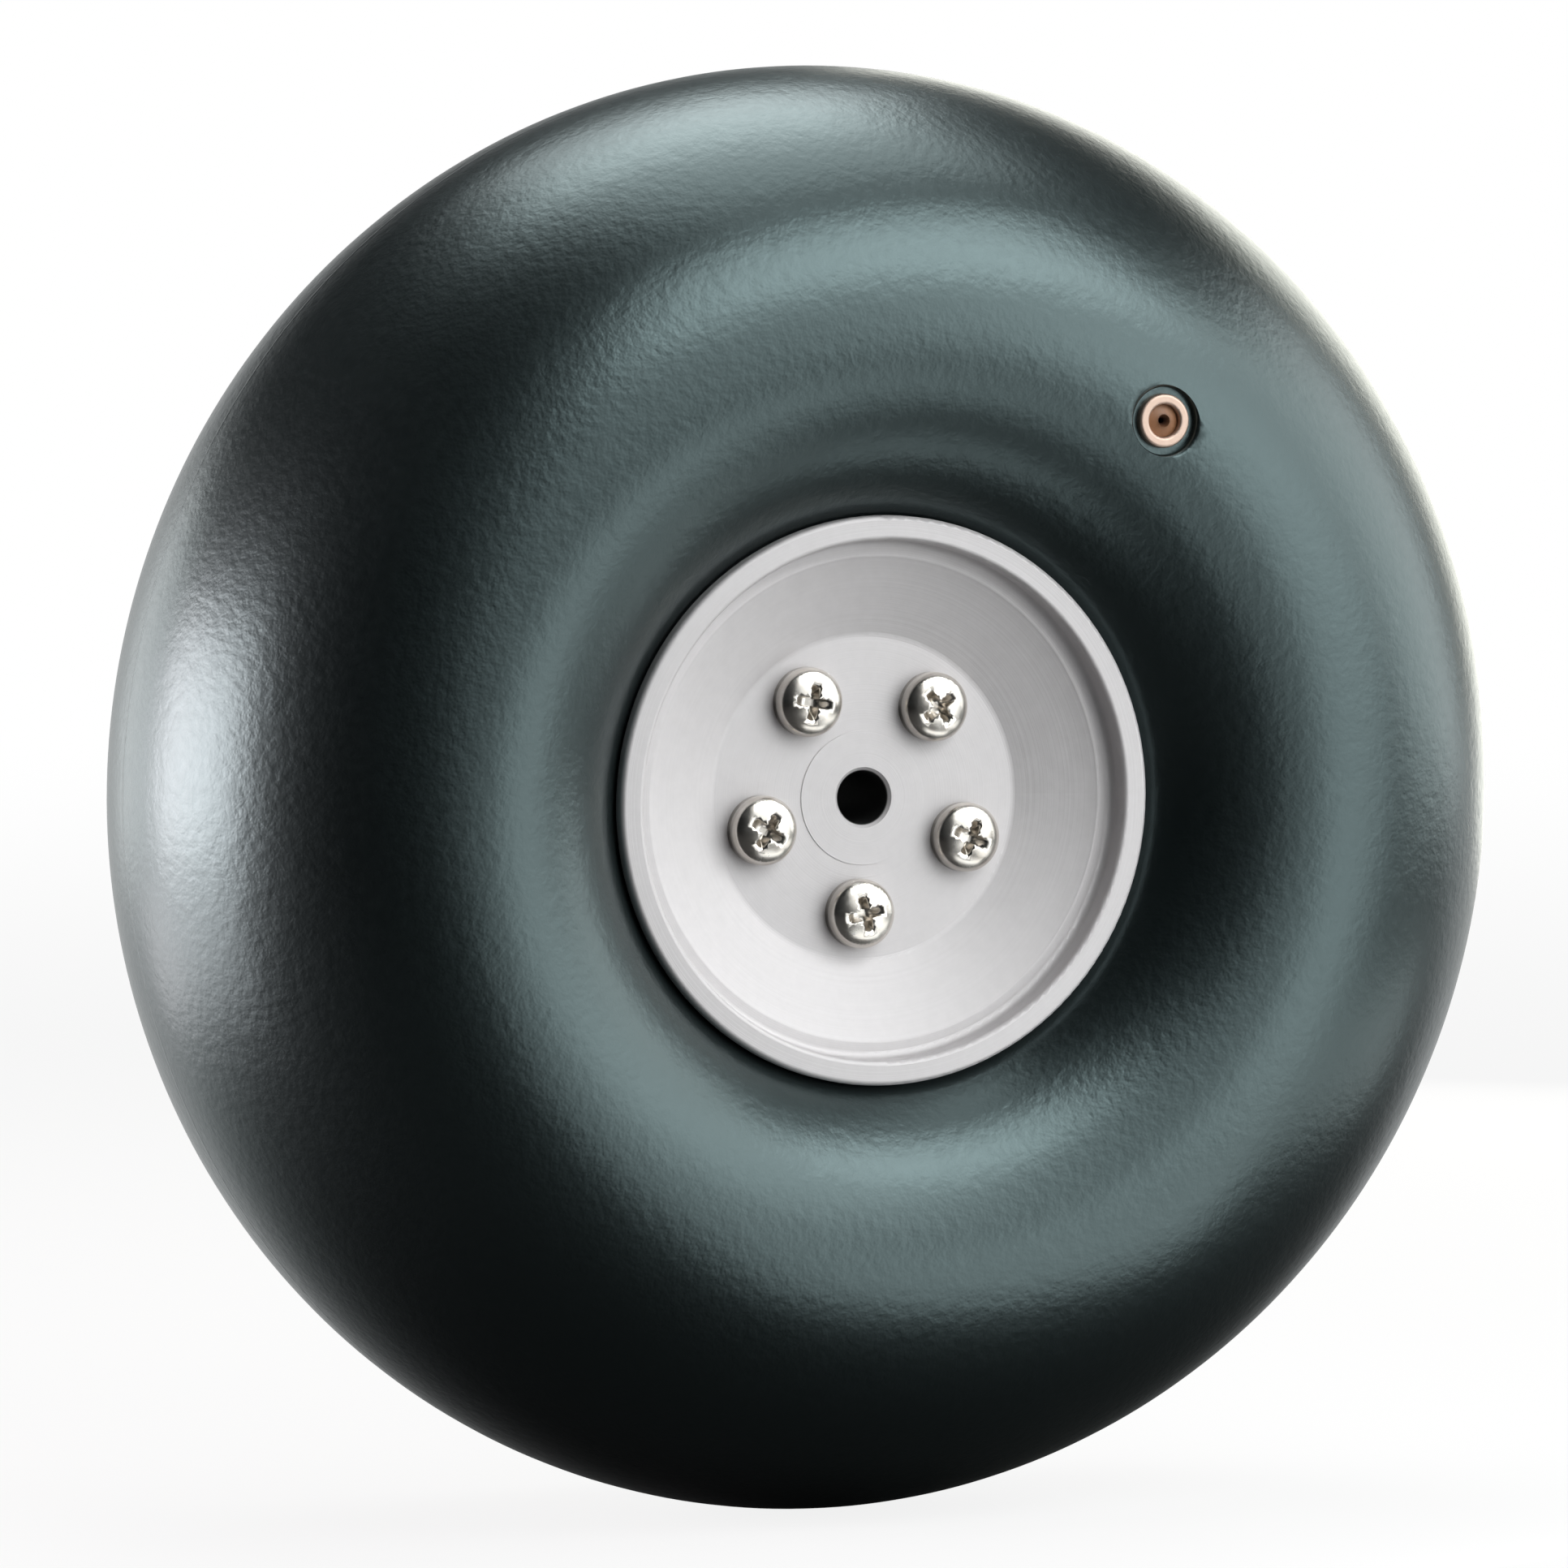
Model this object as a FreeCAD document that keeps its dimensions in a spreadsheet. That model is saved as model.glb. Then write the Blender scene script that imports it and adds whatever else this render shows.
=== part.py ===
"""Inflatable model aircraft wheel: a smooth rubber tyre on a two-piece turned aluminium hub.

The origin is the wheel's centre and the wheel spins about Y. The outer side, with the screw heads
and the inflation valve, faces -Y, and the nuts are on the +Y side. Lengths are millimetres and
angles are degrees, measured about Y from +X towards +Z.
"""
import FreeCAD, Part
import Sketcher
import math
import operator
import os
from types import SimpleNamespace
from FreeCAD import Placement, Rotation, Vector

SIZES = (
    # tyre
    ("tyre_diameter", 88.9, "over the crown, 3 1/2 in"),
    ("tyre_width", 34.9, "over the sidewalls, 1 3/8 in"),
    ("crest_diameter", 56.4, "circle where the sidewalls are widest"),
    ("shoulder_angle", 54.0, "from the crown to where the shoulder starts, about the crown's centre"),
    ("tyre_wall", 1.8, "thickness of the rubber"),
    ("seat_gap", 0.02, "between the tyre and the hub"),
    # hub
    ("lip_diameter", 34.6, "over the hub lips"),
    ("hub_width", 25.4, "over the hub lips, 1 in"),
    ("lip_overhang", 0.7, "lip outside the crease where it pinches the tyre"),
    ("lip_rise", 2.27, "lip above that crease"),
    ("lip_width", 1.5, "radial width of the raised lip"),
    ("lip_side", 0.9, "height of the lip's outer wall"),
    ("lip_round", 0.3, "radius on the lip's two edges"),
    ("step_depth", 1.75, "from the lip down to the ledge"),
    ("step_round", 0.45, "radius at the foot of the step"),
    ("ledge_width", 1.0, "from the foot of the step to the dish"),
    ("ledge_round", 0.25, "radius on the ledge's inner edge"),
    ("web_margin", 0.78, "flat web outside the screw heads, at the bottom of the dish"),
    ("web_spacing", 18.0, "between the two webs' outer faces"),
    ("web_round", 0.8, "radius at the foot of the dish"),
    ("web_thickness", 3.0, ""),
    ("land_margin", 0.2, "between the nuts and the faced land that a wheel collar bears on"),
    ("land_height", 0.05, "land above the web"),
    ("axle_bore", 3.23, "runs on a 1/8 in axle"),
    ("bore_edge", 0.25, "chamfer at the mouth of the bore"),
    ("boss_wall", 2.4, "wall of the centre boss inside the hub"),
    ("rim_wall", 1.2, "wall outside the spigot that centres the two halves"),
    ("spigot_wall", 1.0, "between the spigot's outside and the turned-out space"),
    ("spigot_length", 1.2, ""),
    ("spigot_gap", 0.05, "round and below the spigot"),
    # screws, nuts and spring washers, size 2-56
    ("screw_count", 5, ""),
    ("screw_circle", 14.1, "pitch circle"),
    ("screw_angle", -93.2, "first screw"),
    ("thread_diameter", 2.18, ""),
    ("screw_gap", 0.11, "between the thread and its hole in the hub"),
    ("screw_length", 22.2, "under the head, 7/8 in"),
    ("tip_edge", 0.25, "chamfer on the screw's tip"),
    ("head_diameter", 4.24, "pan head"),
    ("head_height", 1.57, ""),
    ("head_crown", 0.5, "rise of the crown above the rim"),
    ("head_round", 0.6, "radius on the rim"),
    ("recess_width", 2.5, "cross recess at the top"),
    ("recess_wing", 0.62, "thickness of a wing at the top"),
    ("recess_floor_width", 1.1, "cross recess at its floor"),
    ("recess_floor_wing", 0.4, "thickness of a wing at the floor"),
    ("recess_depth", 1.1, ""),
    ("washer_diameter", 4.37, "spring washer"),
    ("washer_gap", 0.06, "between the thread and the washer"),
    ("washer_thickness", 0.51, ""),
    ("washer_split", 0.35, "gap between the washer's ends"),
    ("nut_flats", 4.76, "across flats, 3/16 in"),
    ("nut_thickness", 1.59, ""),
    ("nut_fit", 0.02, "nut bore over the thread"),
    ("nut_edge", 0.2, "countersink of the nut's bore"),
    # valve
    ("valve_angle", 54.5, ""),
    ("valve_recess_diameter", 4.1, "dimple moulded round the valve"),
    ("valve_recess_depth", 0.7, ""),
    ("valve_boss_diameter", 6.4, "thick rubber behind the valve"),
    ("valve_boss_depth", 5.0, "boss's inner end below the crest"),
    ("collar_diameter", 2.6, "brass eyelet through the rubber"),
    ("collar_wall", 0.3, ""),
    ("collar_flange", 3.3, ""),
    ("collar_flange_height", 0.5, ""),
    ("collar_round", 0.2, "radius on the flange's edges"),
    ("collar_clinch", 3.4, "rolled inner end"),
    ("collar_clinch_height", 0.3, ""),
    ("collar_fit", 0.02, "eyelet in the rubber, and core in the eyelet"),
    ("core_sink", 0.2, "core below the flange's top"),
    ("needle_mouth", 0.8, "funnel for the inflation needle"),
    ("needle_hole", 0.35, ""),
    ("needle_depth", 2.2, ""),
)

ORIGIN = (-1, 1)        # a sketch's own origin point
ACROSS = -1             # a sketch's own horizontal axis
UPRIGHT = -2            # a sketch's own vertical axis
AXLE = Vector(0, 1, 0)  # the wheel's axis
OUTWARD = Rotation(Vector(1, 0, 0), 90)      # turns a piece's Z to -Y, the outer side
INWARD = Rotation(Vector(1, 0, 0), -90)      # turns a piece's Z to +Y, the nut side
SCREW_TURNS = (14, 58, 81, 37, 66)           # where each screw's recess stopped when it was tightened
SPLIT_TURNS = (200, 95, 310, 20, 150)        # where each spring washer's split points


class Size:
    """A number from the sheet, with the expression that ties a constraint to it."""

    def __init__(self, number, text):
        self.number = number
        self.text = text

    def joined(self, sign, work, other):
        other = other if isinstance(other, Size) else Size(other, str(other))
        return Size(work(self.number, other.number), f"({self.text} {sign} {other.text})")

    def __add__(self, other):
        return self.joined("+", operator.add, other)

    def __sub__(self, other):
        return self.joined("-", operator.sub, other)

    def __mul__(self, other):
        return self.joined("*", operator.mul, other)

    def __truediv__(self, other):
        return self.joined("/", operator.truediv, other)

    def __neg__(self):
        return Size(-self.number, f"(-1 * {self.text})")


ZERO = Size(0, "0")
ONE = Size(1, "1")


def cosine(angle):
    return Size(math.cos(math.radians(angle.number)), f"cos({angle.text})")


def sine(angle):
    return Size(math.sin(math.radians(angle.number)), f"sin({angle.text})")


def root(square):
    return Size(math.sqrt(square.number), f"sqrt({square.text})")


# ------------------------------------------------------------------ document and sheet

doc = FreeCAD.newDocument("aircraft_wheel")
sheet = doc.addObject("Spreadsheet::Sheet", "Sizes")
for row, (name, value, note) in enumerate(SIZES, 1):
    sheet.set(f"A{row}", f"{name.replace('_', ' ')} {note}".strip())
    sheet.set(f"B{row}", str(value))
    sheet.setAlias(f"B{row}", name)
doc.recompute()
size = SimpleNamespace(**{name: Size(sheet.get(name), f"Sizes.{name}") for name, _, _ in SIZES})

lip_plane = size.hub_width / 2
lip_radius = size.lip_diameter / 2
crease_plane = lip_plane - size.lip_rise
crease_radius = lip_radius - size.lip_overhang
crest_plane = size.tyre_width / 2
crest_radius = size.crest_diameter / 2
crown_plane = size.tyre_diameter / 2
waist_reach = crest_radius - crease_radius
waist_arc = root(waist_reach * waist_reach + crease_plane * crease_plane)
waist_radius = crest_radius - waist_arc
web_plane = size.web_spacing / 2
land_plane = web_plane + size.land_height
washer_top = web_plane + size.washer_thickness
nut_corner = size.nut_flats / 2 / cosine(Size(30, "30"))
valve_floor = crest_plane - size.valve_recess_depth


# ------------------------------------------------------------------ sketching

def new_body(name):
    body = doc.addObject("PartDesign::Body", name)
    body.Label = name
    return body


def new_sketch(body, name, plane="XY_Plane", offset=None):
    """A sketch on one of the body's own origin planes, moved along its normal by offset."""
    sketch = body.newObject("Sketcher::SketchObject", f"{body.Label}_{name}")
    base = next(item for item in body.Origin.OriginFeatures if item.Role == plane)
    sketch.AttachmentSupport = [(base, "")]
    sketch.MapMode = "FlatFace"
    if offset is not None:
        sketch.setExpression("AttachmentOffset.Base.z", offset.text)
    doc.recompute()
    return sketch


def tie(sketch, kind, places, length):
    """Constrain a distance or radius and bind it to the sheet."""
    number = sketch.addConstraint(Sketcher.Constraint(kind, *places, length.number))
    sketch.setExpression(f"Constraints[{number}]", length.text)


def pin(sketch, point, x=None, y=None):
    """Hold a point's x, y or both, measured from the sketch's origin."""
    for kind, axis, length in (("DistanceX", UPRIGHT, x), ("DistanceY", ACROSS, y)):
        if length is ZERO:
            sketch.addConstraint(Sketcher.Constraint("PointOnObject", *point, axis))
        elif length is not None:
            tie(sketch, kind, (*ORIGIN, *point), length)


def meet(sketch, first, second):
    sketch.addConstraint(Sketcher.Constraint("Coincident", *first, *second))


def arc_about(centre, start, end):
    """The shorter arc from start to end, and the numbers of its start and end points."""
    radius = math.dist(centre, start)
    begin = math.atan2(start[1] - centre[1], start[0] - centre[0])
    finish = math.atan2(end[1] - centre[1], end[0] - centre[0])
    anticlockwise = (finish - begin) % (2 * math.pi) < math.pi
    if not anticlockwise:
        begin, finish = finish, begin
    circle = Part.Circle(Vector(*centre, 0), Vector(0, 0, 1), radius)
    return Part.ArcOfCircle(circle, begin, finish), (1, 2) if anticlockwise else (2, 1)


def draw(sketch, corners):
    """A closed outline. A corner (x, y) ends a straight edge. A corner (x, centre, side) ends an
    arc about the centre: its y follows from x, on the side of the centre that side says."""
    spots = []
    for corner in corners:
        if len(corner) == 2:
            spots.append((corner[0].number, corner[1].number))
        else:
            x, centre, side = corner[0].number, [value.number for value in corner[1]], corner[2]
            rise = math.dist(centre, spots[-1]) ** 2 - (x - centre[0]) ** 2
            spots.append((x, centre[1] + side * math.sqrt(rise)))
    ends = []
    for corner, start, end in zip(corners, [spots[-1]] + spots, spots):
        if len(corner) == 2:
            edge = sketch.addGeometry(Part.LineSegment(Vector(*start, 0), Vector(*end, 0)), False)
            ends.append(((edge, 1), (edge, 2)))
        else:
            arc, (first, last) = arc_about([value.number for value in corner[1]], start, end)
            edge = sketch.addGeometry(arc, False)
            ends.append(((edge, first), (edge, last)))
    for index, (corner, (start, end)) in enumerate(zip(corners, ends)):
        meet(sketch, ends[index - 1][1], start)
        if len(corner) == 2:
            pin(sketch, end, corner[0], corner[1])
        else:
            pin(sketch, (end[0], 3), *corner[1])
            pin(sketch, end, corner[0])


def add_circle(sketch, x, y, diameter):
    edge = sketch.addGeometry(Part.Circle(Vector(x.number, y.number, 0), Vector(0, 0, 1),
                                          diameter.number / 2), False)
    pin(sketch, (edge, 3), x, y)
    tie(sketch, "Diameter", (edge,), diameter)


# ------------------------------------------------------------------ features

def feature(body, kind, name, sketch):
    made = body.newObject(f"PartDesign::{kind}", f"{body.Label}_{name}")
    made.Profile = sketch
    sketch.Visibility = False
    return made


def revolve(body, name, sketch):
    """A full turn about the sketch's vertical axis."""
    made = feature(body, "Revolution", name, sketch)
    made.ReferenceAxis = (sketch, ["V_Axis"])
    made.Angle = 360
    doc.recompute()
    return made


def sweep(body, kind, name, sketch, length=None, against=False):
    """A Pad or Pocket: of a length, or right through without one. against turns it round."""
    made = feature(body, kind, name, sketch)
    if length is None:
        made.Type = "ThroughAll"
    else:
        made.setExpression("Length", length.text)
    made.Reversed = against
    doc.recompute()
    return made


def ring_edges(body, height, radius=None, axis=Vector(0, 0, 1)):
    """The names of the circular edges at this height on the axis, of this radius if one is given."""
    names = []
    for number, edge in enumerate(body.Tip.Shape.Edges, 1):
        if edge.Degenerated or not isinstance(edge.Curve, Part.Circle):
            continue
        level = abs(edge.Curve.Center.dot(axis) - height.number) < 1e-4
        if level and (radius is None or abs(edge.Curve.Radius - radius.number) < 1e-4):
            names.append(f"Edge{number}")
    return names


def fillet(body, name, radius, names):
    """Round the named edges of the body's last feature."""
    base = body.Tip
    made = body.newObject("PartDesign::Fillet", f"{body.Label}_{name}")
    made.Base = (base, names)
    made.setExpression("Radius", radius.text)
    doc.recompute()


# ------------------------------------------------------------------ tyre

def tyre_section(sketch):
    """Half of the rubber's section, from the mid-plane to the outer side. Four arcs make the
    outside: crown, shoulder, sidewall and waist. Four more, a wall inside them, make the air
    chamber. The crown, shoulder and sidewall run into each other; the waist meets the sidewall
    in the crease under the hub's lip."""
    lean, height = size.shoulder_angle, crown_plane - crest_radius
    bend = (((ONE - cosine(lean)) * crest_plane - sine(lean) * height)
            / (ONE - sine(lean) - cosine(lean)))
    crown = (height - bend * cosine(lean)) / (ONE - cosine(lean))
    drop = crest_plane - crease_plane
    side = (waist_reach * waist_reach + drop * drop) / (drop * 2)
    centres = ((crown_plane - crown, ZERO), (crest_radius, crest_plane - bend),
               (crest_radius, crest_plane - side), (crest_radius, ZERO))

    chains = []
    for inset in (ZERO, size.tyre_wall):
        across = (crown - inset) * cosine(lean)
        crease = root((waist_arc - inset) * (waist_arc - inset) - waist_reach * waist_reach)
        spots = ((crown_plane - inset, ZERO),
                 (crown_plane - crown + across, (crown - inset) * sine(lean)),
                 (crest_radius, crest_plane - inset),
                 (crease_radius, crease),
                 (waist_radius + inset, ZERO))
        spots = [(x.number, y.number) for x, y in spots]
        chain = []
        for (x, y), start, end in zip(centres, spots, spots[1:]):
            arc, (first, last) = arc_about((x.number, y.number), start, end)
            edge = sketch.addGeometry(arc, False)
            chain.append(((edge, first), (edge, last), (edge, 3)))
        for before, after in zip(chain[:2], chain[1:]):
            sketch.addConstraint(Sketcher.Constraint("Tangent", *before[1], *after[0]))
        meet(sketch, chain[2][1], chain[3][0])
        chains.append(chain)

    outside, inside = chains
    for outer_arc, inner_arc in zip(outside, inside):
        meet(sketch, outer_arc[2], inner_arc[2])
    pin(sketch, outside[0][2], y=ZERO)
    pin(sketch, outside[0][0], crown_plane, ZERO)
    tie(sketch, "Radius", (outside[1][0][0],), bend)
    pin(sketch, outside[1][1], crest_radius, crest_plane)
    pin(sketch, outside[1][2], crest_radius)
    pin(sketch, outside[3][2], crest_radius, ZERO)
    pin(sketch, outside[3][0], crease_radius, crease_plane)
    pin(sketch, outside[3][1], y=ZERO)
    pin(sketch, inside[0][0], crown_plane - size.tyre_wall, ZERO)
    pin(sketch, inside[3][1], waist_radius + size.tyre_wall, ZERO)
    for place, end in ((0, 0), (3, 1)):
        points = [sketch.getPoint(*chain[place][end]) for chain in chains]
        edge = sketch.addGeometry(Part.LineSegment(*points), False)
        meet(sketch, outside[place][end], (edge, 1))
        meet(sketch, inside[place][end], (edge, 2))


def make_tyre():
    """The hollow tyre, with a thick boss behind the valve and a dimple round it."""
    body = new_body("tyre")
    section = new_sketch(body, "section")
    tyre_section(section)
    half = revolve(body, "half", section)
    whole = body.newObject("PartDesign::Mirrored", "tyre_whole")
    whole.Originals = [half]
    whole.MirrorPlane = (section, ["H_Axis"])
    body.Tip = whole
    doc.recompute()

    x, z = crest_radius * cosine(size.valve_angle), crest_radius * sine(size.valve_angle)
    boss = new_sketch(body, "boss_outline", "XZ_Plane", crest_plane - size.tyre_wall / 2)
    add_circle(boss, x, z, size.valve_boss_diameter)
    sweep(body, "Pad", "boss", boss, size.valve_boss_depth - size.tyre_wall / 2, against=True)
    dimple = new_sketch(body, "dimple_outline", "XZ_Plane", crest_plane)
    add_circle(dimple, x, z, size.valve_recess_diameter)
    sweep(body, "Pocket", "dimple", dimple, size.valve_recess_depth)
    hole = new_sketch(body, "hole_outline", "XZ_Plane", crest_plane)
    add_circle(hole, x, z, size.collar_diameter + size.collar_fit * 2)
    sweep(body, "Pocket", "hole", hole, size.valve_boss_depth + size.tyre_wall)
    return body


# ------------------------------------------------------------------ hub

def make_hub_half(name, side, spigot):
    """One turned half. side is the half's direction on Y. The half with the spigot goes into the
    other one's recess, and they meet face to face on the mid-plane."""
    body = new_body(name)
    lip, web, land = lip_plane * side, web_plane * side, land_plane * side
    floor = web - size.web_thickness * side
    step = lip - size.step_depth * side
    seat = waist_radius - size.seat_gap
    spigot_radius = seat - size.rim_wall
    pocket = spigot_radius - size.spigot_wall
    if spigot:
        register, foot = spigot_radius - size.spigot_gap, -(size.spigot_length * side)
    else:
        register, foot = spigot_radius, (size.spigot_length + size.spigot_gap) * side
    bore = size.axle_bore / 2
    boss = bore + size.boss_wall
    lip_inside = lip_radius - size.lip_width
    ledge = lip_inside - size.ledge_width
    web_radius = size.screw_circle / 2 + size.head_diameter / 2 + size.web_margin
    land_radius = size.screw_circle / 2 - nut_corner - size.land_margin
    section = new_sketch(body, "section")
    draw(section, (
        (bore, ZERO),
        (boss, ZERO),
        (boss, floor),
        (pocket, floor),
        (pocket, foot),
        (register, foot),
        (register, ZERO),
        (seat, ZERO),
        (crease_radius - size.seat_gap, (crest_radius, ZERO), side),
        (lip_radius, lip - size.lip_side * side),
        (lip_radius, lip),
        (lip_inside, lip),
        (lip_inside, step),
        (ledge, step),
        (web_radius, web),
        (land_radius, web),
        (land_radius, land),
        (bore + size.bore_edge, land),
        (bore, land - size.bore_edge * side)))
    revolve(body, "turned", section)
    for part, radius, rings in (
            ("lip_edges", size.lip_round, ((lip, lip_radius), (lip, lip_inside))),
            ("step_foot", size.step_round, ((step, lip_inside),)),
            ("ledge_edge", size.ledge_round, ((step, ledge),)),
            ("dish_foot", size.web_round, ((web, web_radius),))):
        fillet(body, part, radius, [name for ring in rings for name in ring_edges(body, *ring, AXLE)])

    drilling = new_sketch(body, "drilling", "XZ_Plane", -land)
    add_circle(drilling, size.screw_circle / 2 * cosine(size.screw_angle),
               size.screw_circle / 2 * sine(size.screw_angle),
               size.thread_diameter + size.screw_gap * 2)
    hole = sweep(body, "Pocket", "screw_hole", drilling, against=side > 0)
    holes = body.newObject("PartDesign::PolarPattern", f"{name}_screw_holes")
    holes.Originals = [hole]
    holes.Axis = (section, ["V_Axis"])
    holes.Angle = 360
    holes.setExpression("Occurrences", size.screw_count.text)
    body.Tip = holes
    doc.recompute()
    return body


# ------------------------------------------------------------------ screws, spring washers and nuts

def place(body, height, circle, angle, turn, spin):
    """Stand a piece on the plane y = height, at an angle on a circle about the wheel's axis."""
    body.Placement = Placement(Vector(0, 0, 0), turn * Rotation(Vector(0, 0, 1), spin))
    for axis, length in (("x", circle / 2 * cosine(angle)), ("y", height), ("z", circle / 2 * sine(angle))):
        body.setExpression(f"Placement.Base.{axis}", length.text)


def cross(sketch, width, wing):
    """The outline of a cross recess, width over two wings."""
    reach, half = width / 2, wing / 2
    draw(sketch, ((reach, -half), (reach, half), (half, half), (half, reach), (-half, reach),
                  (-half, half), (-reach, half), (-reach, -half), (-half, -half), (-half, -reach),
                  (half, -reach), (half, -half)))


def make_screw(name):
    """Pan head screw with a cross recess, its seat at z = 0 and its head up."""
    body = new_body(name)
    shank, head = size.thread_diameter / 2, size.head_diameter / 2
    rim, tip = size.head_height - size.head_crown, -size.screw_length
    crown = (size.head_crown * size.head_crown + head * head) / (size.head_crown * 2)
    section = new_sketch(body, "section", "XZ_Plane")
    draw(section, (
        (ZERO, tip),
        (shank - size.tip_edge, tip),
        (shank, tip + size.tip_edge),
        (shank, ZERO),
        (head, ZERO),
        (head, rim),
        (ZERO, (ZERO, size.head_height - crown), 1)))
    revolve(body, "turned", section)
    fillet(body, "rim", size.head_round, ring_edges(body, rim))
    top = new_sketch(body, "recess_top", "XY_Plane", size.head_height)
    cross(top, size.recess_width, size.recess_wing)
    bottom = new_sketch(body, "recess_floor", "XY_Plane", size.head_height - size.recess_depth)
    cross(bottom, size.recess_floor_width, size.recess_floor_wing)
    recess = feature(body, "SubtractiveLoft", "recess", top)
    recess.Sections = [bottom]
    recess.Ruled = True
    doc.recompute()
    return body


def make_washer(name):
    """Spring washer pressed flat, split at 45 degrees, with its lower face at z = 0."""
    body = new_body(name)
    section = new_sketch(body, "section", "XZ_Plane")
    inner, outer = size.thread_diameter / 2 + size.washer_gap, size.washer_diameter / 2
    draw(section, ((inner, ZERO), (outer, ZERO), (outer, size.washer_thickness),
                   (inner, size.washer_thickness)))
    revolve(body, "ring", section)
    split = new_sketch(body, "split_outline", "YZ_Plane")
    half, middle = size.washer_split / 2, size.washer_thickness / 2
    below, above = -size.washer_thickness, size.washer_thickness * 2
    low, high = below - middle, above - middle
    draw(split, ((low - half, below), (low + half, below), (high + half, above), (high - half, above)))
    sweep(body, "Pocket", "split", split, size.washer_diameter, against=True)
    return body


def make_nut(name):
    """Hexagon nut, chamfered on top, with its seat at z = 0."""
    body = new_body(name)
    bore = size.thread_diameter / 2 + size.nut_fit
    flat = size.nut_flats / 2
    chamfer = size.nut_thickness - (nut_corner - flat)
    section = new_sketch(body, "section", "XZ_Plane")
    draw(section, (
        (bore, size.nut_edge),
        (bore + size.nut_edge, ZERO),
        (nut_corner, ZERO),
        (nut_corner, chamfer),
        (flat, size.nut_thickness),
        (bore + size.nut_edge, size.nut_thickness),
        (bore, size.nut_thickness - size.nut_edge)))
    revolve(body, "turned", section)
    flats = new_sketch(body, "flats", "XY_Plane")
    turns = [Size(60 * step, str(60 * step)) for step in range(6)]
    draw(flats, [(nut_corner * cosine(turn), nut_corner * sine(turn)) for turn in turns])
    add_circle(flats, ZERO, ZERO, size.nut_flats * 2)
    sweep(body, "Pocket", "milled", flats, against=True)
    return body


# ------------------------------------------------------------------ valve

def make_valve_collar():
    """Brass eyelet: a rounded flange in the tyre's dimple, its barrel through the boss and its
    inner end rolled over the boss. z = 0 is the dimple's floor."""
    body = new_body("valve_collar")
    outer = size.collar_diameter / 2
    inner = outer - size.collar_wall
    flange, clinch = size.collar_flange / 2, size.collar_clinch / 2
    back = size.valve_recess_depth - size.valve_boss_depth
    section = new_sketch(body, "section", "XZ_Plane")
    draw(section, (
        (inner, size.collar_flange_height),
        (inner, back - size.collar_clinch_height),
        (clinch, back - size.collar_clinch_height),
        (clinch, back),
        (outer, back),
        (outer, ZERO),
        (flange, ZERO),
        (flange, size.collar_flange_height)))
    revolve(body, "turned", section)
    fillet(body, "rolled", size.collar_round, ring_edges(body, size.collar_flange_height))
    return body


def make_valve_core():
    """Rubber plug that seals round the inflation needle, with a funnel to guide it."""
    body = new_body("valve_core")
    radius = size.collar_diameter / 2 - size.collar_wall - size.collar_fit
    top = size.collar_flange_height - size.core_sink
    bottom = size.valve_recess_depth - size.valve_boss_depth - size.collar_clinch_height
    mouth, needle = size.needle_mouth / 2, size.needle_hole / 2
    section = new_sketch(body, "section", "XZ_Plane")
    draw(section, (
        (ZERO, bottom),
        (radius, bottom),
        (radius, top - size.core_sink),
        (mouth, top),
        (needle, top - mouth),
        (needle, top - size.needle_depth),
        (ZERO, top - size.needle_depth)))
    revolve(body, "turned", section)
    return body


# ------------------------------------------------------------------ assembly and export

make_tyre()
make_hub_half("outer_hub_half", -1, True)
make_hub_half("inner_hub_half", 1, False)
for number in range(int(size.screw_count.number)):
    angle = size.screw_angle - Size(360 * number, str(360 * number)) / size.screw_count
    turn, split = SCREW_TURNS[number % len(SCREW_TURNS)], SPLIT_TURNS[number % len(SPLIT_TURNS)]
    place(make_screw(f"hub_screw_{number + 1}"), -web_plane, size.screw_circle, angle, OUTWARD, turn)
    place(make_washer(f"spring_washer_{number + 1}"), web_plane, size.screw_circle, angle, INWARD, split)
    place(make_nut(f"hub_nut_{number + 1}"), washer_top, size.screw_circle, angle, INWARD, turn * 2)
place(make_valve_collar(), -valve_floor, size.crest_diameter, size.valve_angle, OUTWARD, 0)
place(make_valve_core(), -valve_floor, size.crest_diameter, size.valve_angle, OUTWARD, 0)
doc.recompute()

for item in doc.Objects:
    if "Invalid" in item.State or "Error" in item.State:
        raise RuntimeError(f"{item.Label} failed: {item.State}")
os.makedirs("parts", exist_ok=True)
for body in doc.findObjects("PartDesign::Body"):
    shape = body.Shape
    if shape.isNull() or not shape.isValid() or len(shape.Solids) != 1:
        raise RuntimeError(f"{body.Label} is not one valid solid")
    shape.exportStep(os.path.join("parts", f"{body.Label}.step"))
    print(f"{body.Label:18} {shape.Volume:10.2f} mm3  {len(shape.Faces):3} faces")
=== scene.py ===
"""An inflatable model aircraft wheel: a smooth rubber tyre on a two-piece turned aluminium hub.

The wheel stands on its tread with its axle along Y. The screw heads and the valve face -Y.
"""
import math

import bpy
from mathutils import Matrix, Vector


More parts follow.
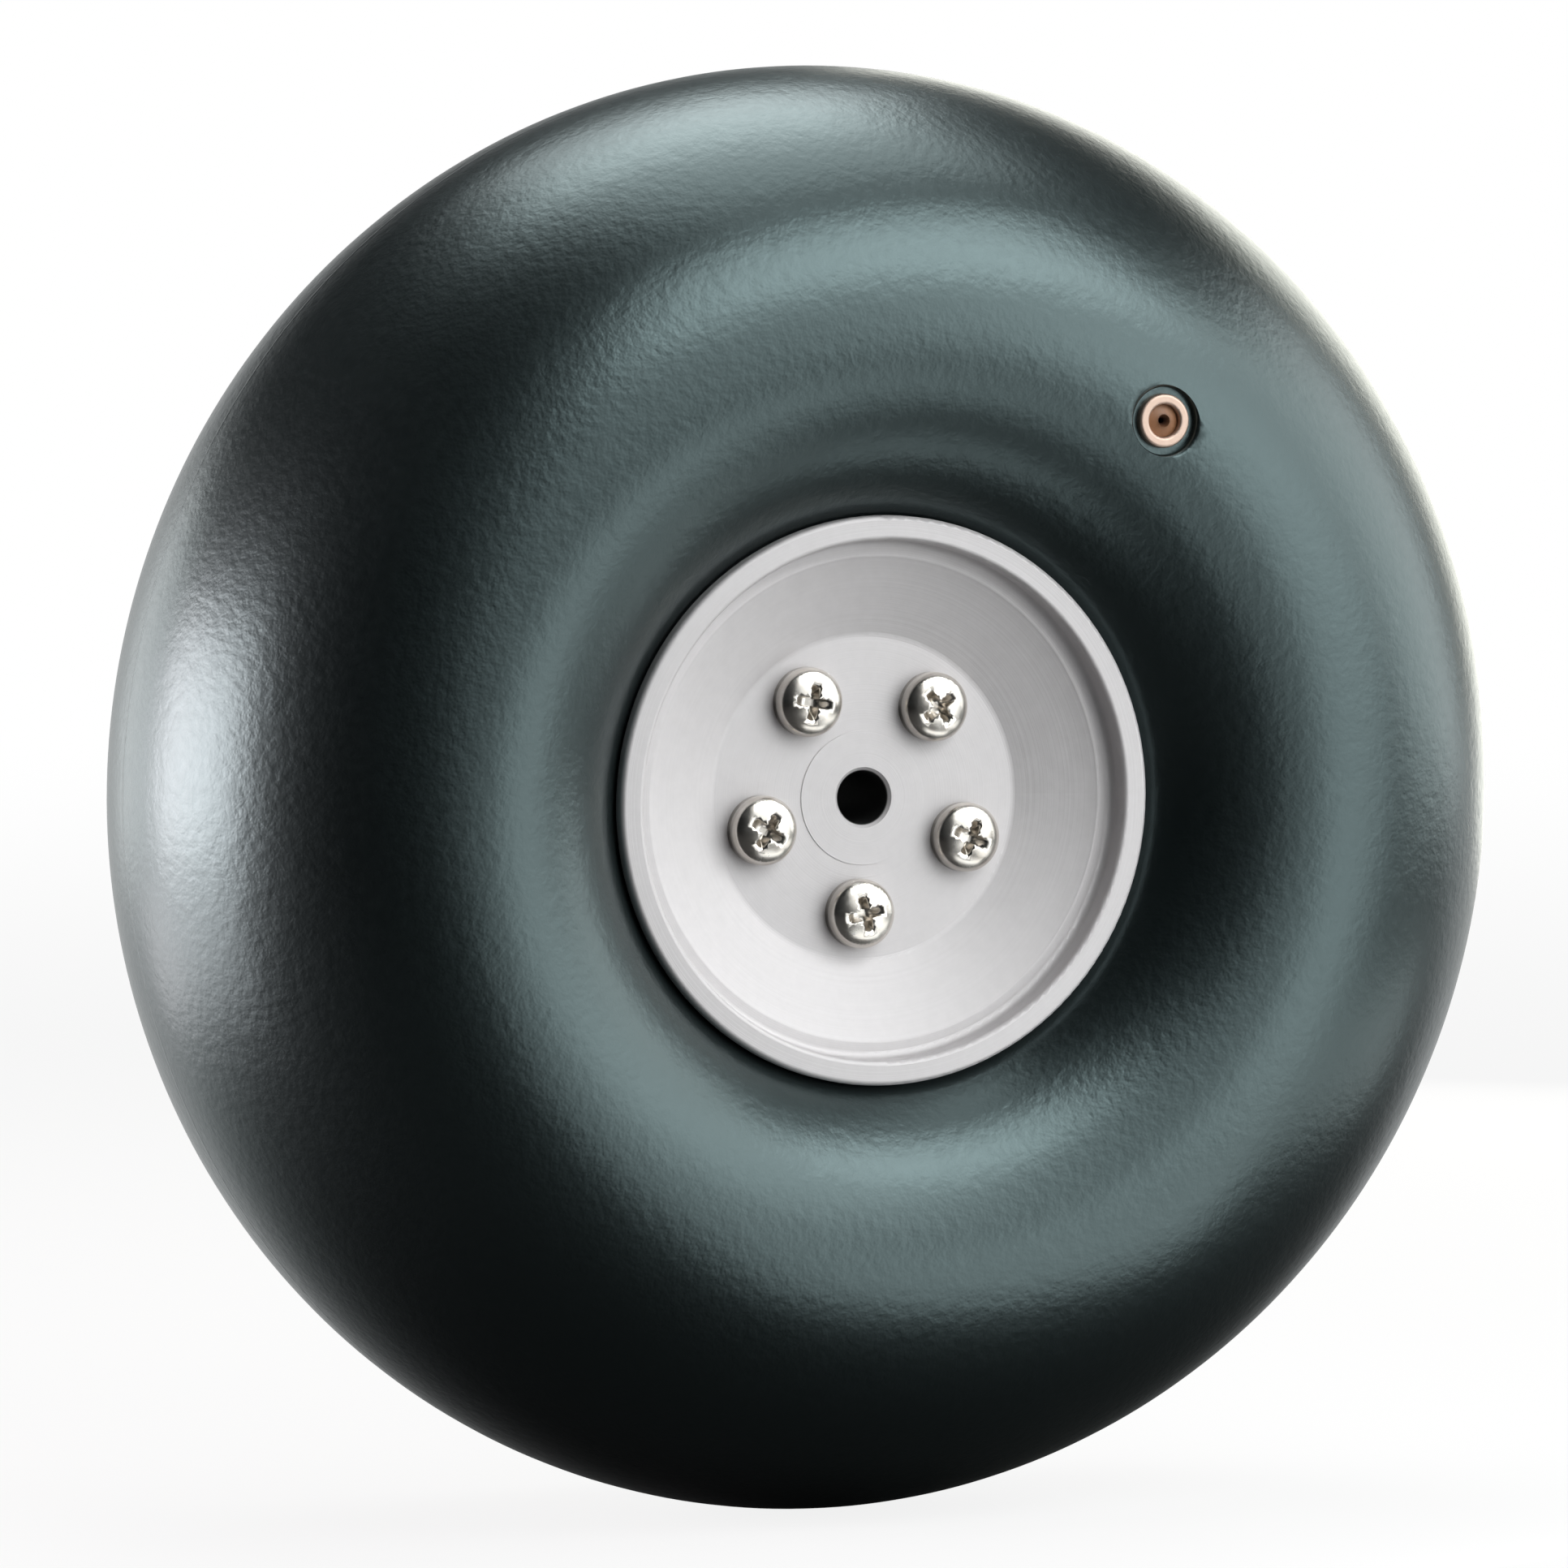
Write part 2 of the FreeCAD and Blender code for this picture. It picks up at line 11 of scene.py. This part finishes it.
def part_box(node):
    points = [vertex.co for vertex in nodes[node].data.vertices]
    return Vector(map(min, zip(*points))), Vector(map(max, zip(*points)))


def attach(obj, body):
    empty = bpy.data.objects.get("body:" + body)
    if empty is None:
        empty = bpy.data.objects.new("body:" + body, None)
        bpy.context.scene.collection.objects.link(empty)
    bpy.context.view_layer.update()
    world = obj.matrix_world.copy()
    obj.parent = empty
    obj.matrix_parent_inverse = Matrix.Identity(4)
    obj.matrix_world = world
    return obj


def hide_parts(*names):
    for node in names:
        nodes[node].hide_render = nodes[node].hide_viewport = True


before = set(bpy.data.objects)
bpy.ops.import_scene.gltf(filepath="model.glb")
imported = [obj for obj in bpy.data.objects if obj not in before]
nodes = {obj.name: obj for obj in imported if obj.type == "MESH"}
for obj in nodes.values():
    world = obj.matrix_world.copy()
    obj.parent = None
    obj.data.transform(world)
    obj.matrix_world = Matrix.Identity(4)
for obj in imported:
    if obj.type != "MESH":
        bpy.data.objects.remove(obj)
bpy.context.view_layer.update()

bpy.ops.object.select_all(action="DESELECT")


# ---------------------------------------------------------------- camera
# A long lens, a little above the axle and well round to the left of the hub, so that the
# crown shows down the left side of the tyre and the far dish wall shows on the right.

camera = bpy.data.objects.new("camera", bpy.data.cameras.new("camera"))
bpy.context.scene.collection.objects.link(camera)
bpy.context.scene.camera = camera


def towards(round_left, up, distance):
    """A point at this distance from the wheel's centre: degrees round to the left of the hub's
    face, and degrees up."""
    turn, rise = math.radians(round_left), math.radians(up)
    return Vector((-math.sin(turn) * math.cos(rise), -math.cos(turn) * math.cos(rise),
                   math.sin(rise))) * distance


def aim(thing, place):
    """Put a camera or lamp at a place, pointing at the wheel's centre."""
    thing.location = place
    thing.rotation_mode = "QUATERNION"
    thing.rotation_quaternion = (-place).to_track_quat("-Z", "Y")


aim(camera, towards(22.7, 3.7, 0.70))
camera.data.sensor_width = 36
camera.data.lens = 261
camera.data.shift_x = -0.014
camera.data.shift_y = 0.003
camera.data.clip_start = 0.01
camera.data.clip_end = 20


# ---------------------------------------------------------------- softboxes
# A table-top studio. The strongest softbox lights the tread from the left. Softer ones stand in
# front, on the right and behind, and two hang overhead. Four low ones stand on the table, close
# to the wheel, and light the parts of the tyre that look down.

def softbox(name, place, width, height, level, colour):
    """A soft rectangular lamp. level is how bright its face is, where 1 is a white card."""
    lamp = bpy.data.lights.new(name, "AREA")
    lamp.shape = "RECTANGLE"
    lamp.size = width
    lamp.size_y = height
    lamp.energy = level * math.pi * width * height
    lamp.color = colour
    holder = bpy.data.objects.new(name, lamp)
    bpy.context.scene.collection.objects.link(holder)
    aim(holder, place)
    holder.visible_camera = False


softbox("left_softbox", towards(106, -2, 0.288), 0.21, 0.19, 12.0, (1.0, 0.86, 0.88))
softbox("low_left_strip", towards(108, -16, 0.115), 0.09, 0.024, 3.6, (1.0, 0.86, 0.88))
softbox("rear_left_softbox", towards(144, 4, 0.30), 0.14, 0.17, 2.6, (1.0, 0.97, 0.97))
softbox("right_softbox", towards(-81, 15, 0.26), 0.19, 0.18, 3.0, (0.98, 1.0, 0.99))
softbox("low_right_strip", towards(-60, -22, 0.095), 0.075, 0.022, 1.6, (0.98, 1.0, 0.99))
softbox("rear_right_softbox", towards(-136, 12, 0.28), 0.18, 0.18, 3.2, (1.0, 0.98, 0.88))
softbox("front_softbox", towards(-29, 22, 0.19), 0.21, 0.13, 1.5, (0.97, 1.0, 1.0))
softbox("front_strip", towards(-38, 6, 0.16), 0.09, 0.10, 2.0, (0.97, 1.0, 1.0))
softbox("low_front_softbox", towards(-24, -13, 0.13), 0.09, 0.028, 1.9, (0.97, 1.0, 1.0))
softbox("low_front_strip", towards(-26, -36, 0.066), 0.046, 0.014, 1.9, (0.97, 1.0, 1.0))
softbox("upper_front_softbox", towards(-25, 43, 0.22), 0.18, 0.10, 4.8, (0.97, 1.0, 1.0))
softbox("overhead_softbox", towards(-120, 82, 0.275), 0.22, 0.20, 2.8, (0.97, 1.0, 1.0))
softbox("rear_overhead_softbox", towards(-168, 67, 0.28), 0.18, 0.15, 3.0, (0.97, 1.0, 1.0))


# ---------------------------------------------------------------- table and backdrop
# A white table that runs back into a white backdrop. The side of the room that the camera
# looks from is dark, and so is the table there to all but the camera, so only what faces away
# from the camera mirrors white.

class Wire:
    """A socket in a shader. Sums on wires add Math nodes; node() adds any other node."""

    def __init__(self, socket):
        self.socket = socket

    def node(self, kind, settings=None, inputs=None, output=0):
        """A new node in this wire's tree, its settings made first, then its sockets given values
        or wires. Returns a wire from one of its outputs."""
        tree = self.socket.id_data
        new = tree.nodes.new(kind)
        for name, value in (settings or {}).items():
            setattr(new, name, value)
        for name, value in (inputs or {}).items():
            if isinstance(value, Wire):
                tree.links.new(value.socket, new.inputs[name])
            else:
                new.inputs[name].default_value = value
        return Wire(new.outputs[output])

    def math(self, operation, *values):
        return self.node("ShaderNodeMath", {"operation": operation}, dict(enumerate(values)))

    def __add__(self, other):
        return self.math("ADD", self, other)

    def __radd__(self, other):
        return self.math("ADD", other, self)

    def __sub__(self, other):
        return self.math("SUBTRACT", self, other)

    def __rsub__(self, other):
        return self.math("SUBTRACT", other, self)

    def __mul__(self, other):
        return self.math("MULTIPLY", self, other)

    def __rmul__(self, other):
        return self.math("MULTIPLY", other, self)

    def __pow__(self, other):
        return self.math("POWER", self, other)

    def rise(self, low, high):
        """0 below low, 1 above high, and a smooth step between them."""
        return self.node("ShaderNodeMapRange", {"interpolation_type": "SMOOTHSTEP"},
                         {"Value": self, "From Min": low, "From Max": high})

    def noise(self, scale, detail=2.0, roughness=0.5):
        """Cloudy noise from 0 to 1 over a place."""
        return self.node("ShaderNodeTexNoise", None,
                         {"Vector": self, "Scale": scale, "Detail": detail, "Roughness": roughness})

    def parts(self):
        """A vector's three numbers."""
        return [self.node("ShaderNodeSeparateXYZ", None, {0: self}, axis) for axis in range(3)]

    def blend(self, share, first, second):
        """A colour between two, by share."""
        return self.node("ShaderNodeMix", {"data_type": "RGBA"}, {0: share, 6: first, 7: second}, 2)


def new_finish(name, settings):
    """A material whose Principled shader has these settings. Returns the material, a wire on the
    surface's own coordinates, and a function that leads a wire into the shader."""
    material = bpy.data.materials.new(name)
    material.use_nodes = True
    tree = material.node_tree
    shader = tree.nodes["Principled BSDF"]
    for socket, value in settings.items():
        shader.inputs[socket].default_value = value
    place = Wire(tree.nodes.new("ShaderNodeTexCoord").outputs["Object"])

    def lead(wire, socket):
        tree.links.new(wire.socket, shader.inputs[socket])

    return material, place, lead


world = bpy.data.worlds.new("studio")
world.use_nodes = True
bpy.context.scene.world = world
sky = world.node_tree
light_path = sky.nodes.new("ShaderNodeLightPath")
camera_ray = Wire(light_path.outputs["Is Camera Ray"])
glossy_ray = Wire(light_path.outputs["Is Glossy Ray"])
clear_ray = Wire(light_path.outputs["Is Transmission Ray"])
back, up = Wire(sky.nodes.new("ShaderNodeTexCoord").outputs["Generated"]).parts()[1:]
backdrop = back.rise(0.55, 1.0) * (1 - up.rise(0.1, 0.45))
shown = camera_ray.math("MAXIMUM", camera_ray + clear_ray, glossy_ray * backdrop)
seen = shown.blend(shown, (0.012, 0.014, 0.015, 1), (1, 1, 1, 1))
sky.links.new(seen.socket, sky.nodes["Background"].inputs["Color"])

bpy.ops.mesh.primitive_plane_add(size=8, location=(0, 0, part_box("tyre")[0].z - 0.0001))
table = bpy.context.object
table.name = "table"
bpy.ops.object.transform_apply(location=True, rotation=True, scale=True)
white_table, place, lead = new_finish("white_table", {
    "Roughness": 0.9, "Specular IOR Level": 0.1})
tree = white_table.node_tree
light_path = tree.nodes.new("ShaderNodeLightPath")
camera_ray = Wire(light_path.outputs["Is Camera Ray"])
glossy_ray = Wire(light_path.outputs["Is Glossy Ray"])
clear_ray = Wire(light_path.outputs["Is Transmission Ray"])
x, y = place.parts()[:2]
away = ((x * x + y * y) ** 0.5).rise(0.05, 0.8)
lead(place.blend(camera_ray, (0.04, 0.04, 0.04, 1), (0.60, 0.60, 0.60, 1)), "Base Color")
shown = camera_ray.math("MAXIMUM", (camera_ray + clear_ray) * (away * 0.14 + 0.86),
                        glossy_ray * y.rise(-0.005, 0.06))
glow = place.node("ShaderNodeEmission", None, {"Color": (1, 1, 1, 1), "Strength": 1.0})
surface = place.node("ShaderNodeMixShader", None,
                     {0: shown, 1: Wire(tree.nodes["Principled BSDF"].outputs[0]), 2: glow})
tree.links.new(surface.socket, tree.nodes["Material Output"].inputs["Surface"])
table.data.materials.append(white_table)
bpy.ops.object.select_all(action="DESELECT")


# ---------------------------------------------------------------- tyre
# One hollow ring of black rubber, smooth moulded all over, with a satin skin. It has no tread.
# The mould closes on the crown, and leaves a hair line there. It is spun here as one skin, so
# that no seam breaks the light that runs over it, and the valve's dimple is sunk in it.

crown_radius, half_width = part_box("tyre")[1].x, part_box("tyre")[1].y
crest_radius = 0.0282
crease_radius, crease_side = 0.0166, 0.01043
round_steps, same_point = 288, 0.00001
shoulder_angle = math.radians(54)
sine, cosine = math.sin(shoulder_angle), math.cos(shoulder_angle)
section_height = crown_radius - crest_radius
bend = ((1 - cosine) * half_width - sine * section_height) / (1 - sine - cosine)
crown_arc = (section_height - bend * cosine) / (1 - cosine)
reach, drop = crest_radius - crease_radius, half_width - crease_side
side_arc = (reach ** 2 + drop ** 2) / (drop * 2)
side_turn = math.asin(reach / side_arc)
waist_turn = math.atan2(crease_side, reach) * 2
quarter = math.radians(90)
arcs = (
    (crown_radius - crown_arc, 0, shoulder_angle, 18),
    (crest_radius, bend - half_width, quarter - shoulder_angle, 14),
    (crest_radius, side_arc - half_width, side_turn, 20),
    (crest_radius, 0, waist_turn, 18),
    (crest_radius, half_width - side_arc, side_turn, 20),
    (crest_radius, half_width - bend, quarter - shoulder_angle, 14),
    (crown_radius - crown_arc, 0, shoulder_angle, 18))

bpy.ops.mesh.primitive_plane_add(size=0.001, location=(0, 0, 0))
tyre = bpy.context.object
tyre.name = "smooth_tyre"
bpy.ops.object.mode_set(mode="EDIT")
bpy.ops.mesh.select_all(action="SELECT")
bpy.ops.mesh.merge(type="CENTER")
bpy.ops.transform.translate(value=(crown_radius, 0, 0))
for out, side, turn, steps in arcs:
    bpy.ops.mesh.spin(steps=steps, angle=turn, center=(out, side, 0), axis=(0, 0, 1))
bpy.ops.mesh.select_all(action="SELECT")
bpy.ops.mesh.remove_doubles(threshold=same_point)
bpy.ops.mesh.spin(steps=round_steps, angle=math.radians(360), center=(0, 0, 0), axis=(0, 1, 0))
bpy.ops.mesh.select_all(action="SELECT")
bpy.ops.mesh.remove_doubles(threshold=same_point)
bpy.ops.mesh.normals_make_consistent(inside=False)
bpy.ops.object.mode_set(mode="OBJECT")

low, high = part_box("valve_collar")
valve = Vector(((low.x + high.x) / 2, -half_width, (low.z + high.z) / 2))
dimple_radius, dimple_depth = 0.00205, 0.0007
hole_radius, hole_depth = 0.00132, 0.0053
dimple_rings = ((0.0029, -0.0006), (0.00238, 0.0), (0.00217, 0.00015), (0.00207, 0.00035),
                (dimple_radius, dimple_depth), (hole_radius, dimple_depth),
                (hole_radius, hole_depth))
bpy.ops.mesh.primitive_circle_add(vertices=64, radius=dimple_rings[0][0], fill_type="NGON",
                                  location=valve + Vector((0, dimple_rings[0][1], 0)),
                                  rotation=(quarter, 0, 0))
dimple = bpy.context.object
bpy.ops.object.transform_apply(location=True, rotation=True, scale=True)
bpy.ops.object.mode_set(mode="EDIT")
bpy.ops.mesh.select_all(action="SELECT")
for (before, start), (after, end) in zip(dimple_rings, dimple_rings[1:]):
    bpy.ops.mesh.extrude_region_move(TRANSFORM_OT_translate={"value": (0, end - start, 0)})
    bpy.ops.transform.resize(value=(after / before, 1, after / before), center_override=valve)
bpy.ops.mesh.select_all(action="SELECT")
bpy.ops.mesh.normals_make_consistent(inside=False)
bpy.ops.object.mode_set(mode="OBJECT")
bpy.ops.object.select_all(action="DESELECT")
tyre.select_set(True)
bpy.context.view_layer.objects.active = tyre
sink = tyre.modifiers.new("sink", "BOOLEAN")
sink.operation = "DIFFERENCE"
sink.solver = "EXACT"
sink.object = dimple
bpy.ops.object.modifier_apply(modifier="sink")
bpy.data.objects.remove(dimple)
bpy.ops.object.shade_smooth_by_angle(angle=math.radians(40))
bpy.ops.object.select_all(action="DESELECT")

rubber, place, lead = new_finish("moulded_rubber", {
    "Specular IOR Level": 1.0, "Specular Tint": (0.74, 0.98, 1.0, 1)})
side = place.parts()[1]
grain = place.noise(1700, 2.0, 0.6)
cloud = place.noise(60, 3.0)
parting = 1 - side.math("ABSOLUTE", side).rise(0.00002, 0.00020)
lead(cloud * 0.05 + grain * 0.09 + 0.27, "Roughness")
lead(place.blend(cloud, (0.0008, 0.0014, 0.0015, 1), (0.0018, 0.0026, 0.0028, 1)), "Base Color")
skin = place.node("ShaderNodeBump", None, {
    "Strength": 0.5, "Distance": 0.0001, "Height": grain * 0.6 + place.noise(600, 2.0) * 0.4})
line = place.node("ShaderNodeBump", None, {
    "Strength": 0.3, "Distance": 0.00004, "Height": parting, "Normal": skin})
lead(line, "Normal")
tyre.data.materials.append(rubber)
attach(tyre, "root")
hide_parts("tyre")


# ---------------------------------------------------------------- valve
# A small brass eyelet rolled over the rubber, with a tan gum rubber core in it. An inflating
# needle goes in through the slit in the core, which closes behind it.

brass, place, lead = new_finish("rolled_brass", {"Metallic": 1.0})
cloud = place.noise(2500, 3.0)
lead(cloud * 0.20 + 0.40, "Roughness")
lead(place.blend(cloud, (0.42, 0.30, 0.24, 1), (0.58, 0.45, 0.38, 1)), "Base Color")
nodes["valve_collar"].data.materials[0] = brass

gum, place, lead = new_finish("gum_rubber", {"Roughness": 0.5})
low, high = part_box("valve_core")
middle = (low + high) / 2
x, y, z = place.parts()
off_centre = ((x - middle.x) ** 2.0 + (z - middle.z) ** 2.0) ** 0.5
fleck = place.noise(4000, 3.0)
# Painted shade: the core is painted dark round its needle slit, fading to tan between 0.15 and 0.6
# mm from its centre.
slit_shade = off_centre.rise(0.00015, 0.0006)
tan = place.blend(fleck, (0.17, 0.070, 0.028, 1), (0.27, 0.125, 0.055, 1))
lead(place.blend(slit_shade, (0.035, 0.012, 0.006, 1), tan), "Base Color")
lead(fleck * 0.2 + 0.40, "Roughness")
nodes["valve_core"].data.materials[0] = gum


# ---------------------------------------------------------------- hub halves
# Turned from aluminium bar on a lathe, then tumbled, which leaves a fine even satin over the
# tool's rings. The bore's wall is painted near black, as painted shade inside the hole.

bore_shade_edge, bright = 0.00164, 0.00172

alloy, place, lead = new_finish("turned_aluminium", {})
x, y, z = place.parts()
radius = (x * x + z * z) ** 0.5
rings = place.node("ShaderNodeTexNoise", {"noise_dimensions": "1D"},
                   {"W": radius * 9000 + y * 9000, "Scale": 1.0, "Detail": 2.0})
tumbled = place.noise(1100, 3.0, 0.6)
# Painted shade: inside the bore the alloy is painted near black and made half as metallic, for the
# shade in the hole.
past_bore_shade = radius.rise(bore_shade_edge, bright)
lead(past_bore_shade * 0.5 + 0.5, "Metallic")
lead(tumbled * 0.10 + rings * 0.06 + 0.66, "Roughness")
satin = place.blend(tumbled, (0.60, 0.58, 0.585, 1), (0.70, 0.68, 0.685, 1))
lead(place.blend(past_bore_shade, (0.012, 0.012, 0.012, 1), satin), "Base Color")
lead(place.node("ShaderNodeBump", None, {
    "Strength": 0.45, "Distance": 0.00002, "Height": rings * 0.6 + tumbled * 0.4}), "Normal")
for name in ("outer_hub_half", "inner_hub_half"):
    nodes[name].data.materials[0] = alloy


# ---------------------------------------------------------------- hub screws
# Pan head machine screws with cross recesses, in bright nickel plated steel. They go right
# through both hub halves, and their rolled threads show past the nuts.

pitch = 0.0254 / 56
thread_crest = 0.00109
thread_root = 0.00084
thread_start = 0.0096
run_out = 0.0001
bare_tip = 0.0003

nickel, place, lead = new_finish("bright_nickel_plate", {"Metallic": 1.0})
cloud = place.noise(1300, 3.0)
lead(cloud * 0.16 + 0.16, "Roughness")
lead(place.blend(cloud, (0.56, 0.51, 0.45, 1), (0.80, 0.77, 0.73, 1)), "Base Color")
lead(place.node("ShaderNodeBump", None, {
    "Strength": 0.2, "Distance": 0.00001, "Height": place.noise(2600, 2.0)}), "Normal")


def pick_where(thing, wanted):
    """Select the points of a thing in edit mode that a test on their place wants."""
    bpy.ops.mesh.select_all(action="DESELECT")
    bpy.ops.object.mode_set(mode="OBJECT")
    for point in thing.data.vertices:
        point.select = wanted(point.co)
    bpy.ops.object.mode_set(mode="EDIT")


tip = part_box("hub_screw_1")[1].y
turns = int((tip - thread_start - bare_tip) / pitch)
bpy.ops.mesh.primitive_circle_add(vertices=3, radius=pitch * 0.5, location=(0, thread_start, 0),
                                  rotation=(0, 0, math.radians(-90)))
ridge = bpy.context.object
ridge.name = "thread_ridge"
bpy.ops.object.transform_apply(location=False, rotation=True, scale=True)
bpy.ops.object.mode_set(mode="EDIT")
bpy.ops.mesh.select_all(action="SELECT")
bpy.ops.transform.translate(value=(thread_crest - pitch * 0.5, 0, 0))
bpy.ops.object.mode_set(mode="OBJECT")
winding = ridge.modifiers.new("winding", "SCREW")
winding.axis = "Y"
winding.angle = math.radians(360)
winding.screw_offset = pitch
winding.iterations = turns
winding.steps = winding.render_steps = 28
bpy.ops.object.modifier_apply(modifier="winding")
bpy.ops.object.transform_apply(location=True, rotation=True, scale=True)
bpy.ops.object.mode_set(mode="EDIT")
bpy.ops.mesh.select_all(action="SELECT")
bpy.ops.mesh.fill_holes(sides=3)
bpy.ops.mesh.select_all(action="SELECT")
bpy.ops.mesh.normals_make_consistent(inside=False)
bpy.ops.object.mode_set(mode="OBJECT")
bpy.ops.object.select_all(action="DESELECT")

for number in range(1, 6):
    name = "hub_screw_%d" % number
    low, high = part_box(name)
    axis = Vector(((low.x + high.x) / 2, 0, (low.z + high.z) / 2))
    screw = nodes[name].copy()
    screw.data = nodes[name].data.copy()
    screw.name = "threaded_screw_%d" % number
    screw.parent = None
    bpy.context.scene.collection.objects.link(screw)
    thread = ridge.copy()
    thread.data = ridge.data.copy()
    thread.data.transform(Matrix.Translation(axis))
    bpy.context.scene.collection.objects.link(thread)
    screw.select_set(True)
    bpy.context.view_layer.objects.active = screw
    bpy.ops.object.mode_set(mode="EDIT")
    bpy.ops.mesh.select_all(action="SELECT")
    bpy.ops.mesh.remove_doubles(threshold=0.0000005)
    for cut in (thread_start, thread_start + run_out):
        bpy.ops.mesh.select_all(action="SELECT")
        bpy.ops.mesh.bisect(plane_co=(0, cut, 0), plane_no=(0, 1, 0))
    pick_where(screw, lambda place: place.y > thread_start + run_out / 2)
    slim = thread_root / thread_crest
    bpy.ops.transform.resize(value=(slim, 1, slim), center_override=axis)
    bpy.ops.object.mode_set(mode="OBJECT")
    thread.select_set(True)
    bpy.ops.object.join()
    screw.data.materials.clear()
    screw.data.materials.append(nickel)
    bpy.ops.object.shade_smooth_by_angle(angle=math.radians(30))
    bpy.ops.object.select_all(action="DESELECT")
    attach(screw, "root")
    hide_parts(name)
bpy.data.objects.remove(ridge)


# ---------------------------------------------------------------- nuts and spring washers
# Hexagon nuts in zinc plated steel, each on a split washer of spring steel, in the inner dish.
# The washers are pressed almost flat, and keep the nuts from shaking loose.

zinc, place, lead = new_finish("zinc_plate", {"Metallic": 1.0})
cloud = place.noise(1600, 3.0)
lead(cloud * 0.16 + 0.20, "Roughness")
lead(place.blend(cloud, (0.55, 0.55, 0.56, 1), (0.68, 0.68, 0.70, 1)), "Base Color")
spring_steel, place, lead = new_finish("spring_steel", {"Metallic": 1.0})
cloud = place.noise(2200, 3.0)
lead(cloud * 0.16 + 0.30, "Roughness")
lead(place.blend(cloud, (0.34, 0.335, 0.33, 1), (0.46, 0.455, 0.45, 1)), "Base Color")
for number in range(1, 6):
    nodes["hub_nut_%d" % number].data.materials[0] = zinc
    nodes["spring_washer_%d" % number].data.materials[0] = spring_steel


# ---------------------------------------------------------------- colour
# Colours come out as they are set.

bpy.context.scene.view_settings.view_transform = "Standard"
